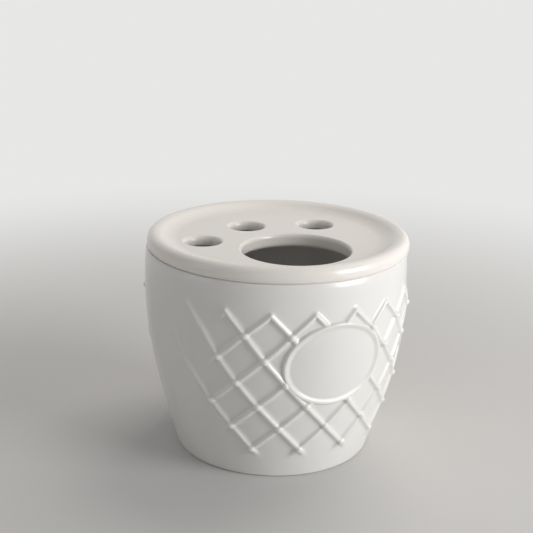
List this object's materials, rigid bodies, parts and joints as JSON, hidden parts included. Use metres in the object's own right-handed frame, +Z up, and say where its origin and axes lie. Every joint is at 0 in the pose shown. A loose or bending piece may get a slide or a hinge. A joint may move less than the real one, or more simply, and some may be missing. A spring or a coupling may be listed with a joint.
{
  "type": "toothbrush holder",
  "caption": "Round tapered ceramic cup with a raised diamond lattice and a bare oval medallion, and a loose lid with small round holes and one large opening.",
  "frame": {"origin": "middle of the foot, on the surface that the holder stands on", "axes": "+Z up; the medallion faces -Y; +X is to the right for someone facing the medallion"},
  "size_m": [0.1118, 0.1146, 0.0949],
  "materials": {
    "cup_glaze": "glossy glaze",
    "lid_glaze": "glossy glaze"
  },
  "bodies": {
    "cup": {"cup": "cup_glaze"},
    "lid": {"lid": "lid_glaze"}
  },
  "joints": [
    {"name": "lid_lift", "type": "slide", "parent": "cup", "child": "lid", "axis": [0, 0, 1], "range_m": [0, 0.06]}
  ]
}
